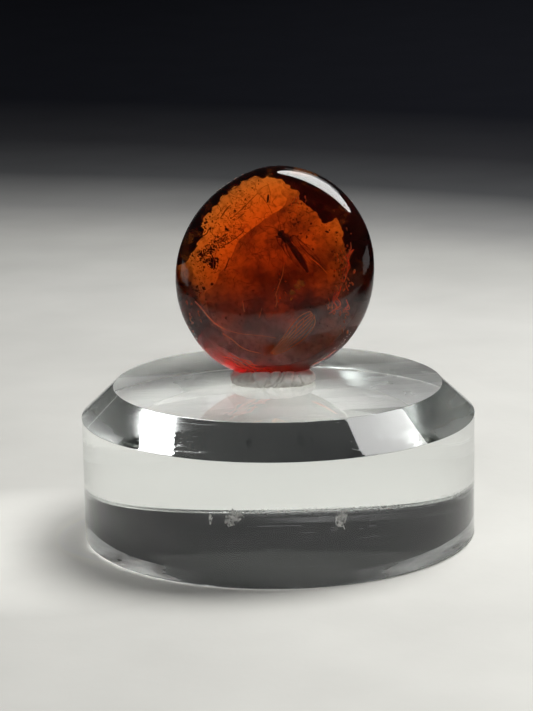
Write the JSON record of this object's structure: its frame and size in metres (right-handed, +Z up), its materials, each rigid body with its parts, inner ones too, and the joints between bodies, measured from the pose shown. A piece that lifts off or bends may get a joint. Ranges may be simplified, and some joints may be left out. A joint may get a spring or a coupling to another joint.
{
  "type": "insect in amber on a display round",
  "caption": "Polished amber cabochon with an insect sealed in it, standing on edge in putty on a clear bevelled display round.",
  "frame": {"origin": "centre of the display round's underside, on the surface it stands on", "axes": "+Z up; the stone's front face looks along -Y; +X to the right of someone facing the stone"},
  "size_m": [0.05, 0.05, 0.0463],
  "materials": {
    "acrylic": "clear polished acrylic",
    "putty": "grey-white kneaded museum putty",
    "amber": "polished dark red-brown amber"
  },
  "bodies": {
    "root": {"acrylic_base": "acrylic", "putty_pad": "putty", "amber_cabochon": "amber"}
  },
  "joints": []
}
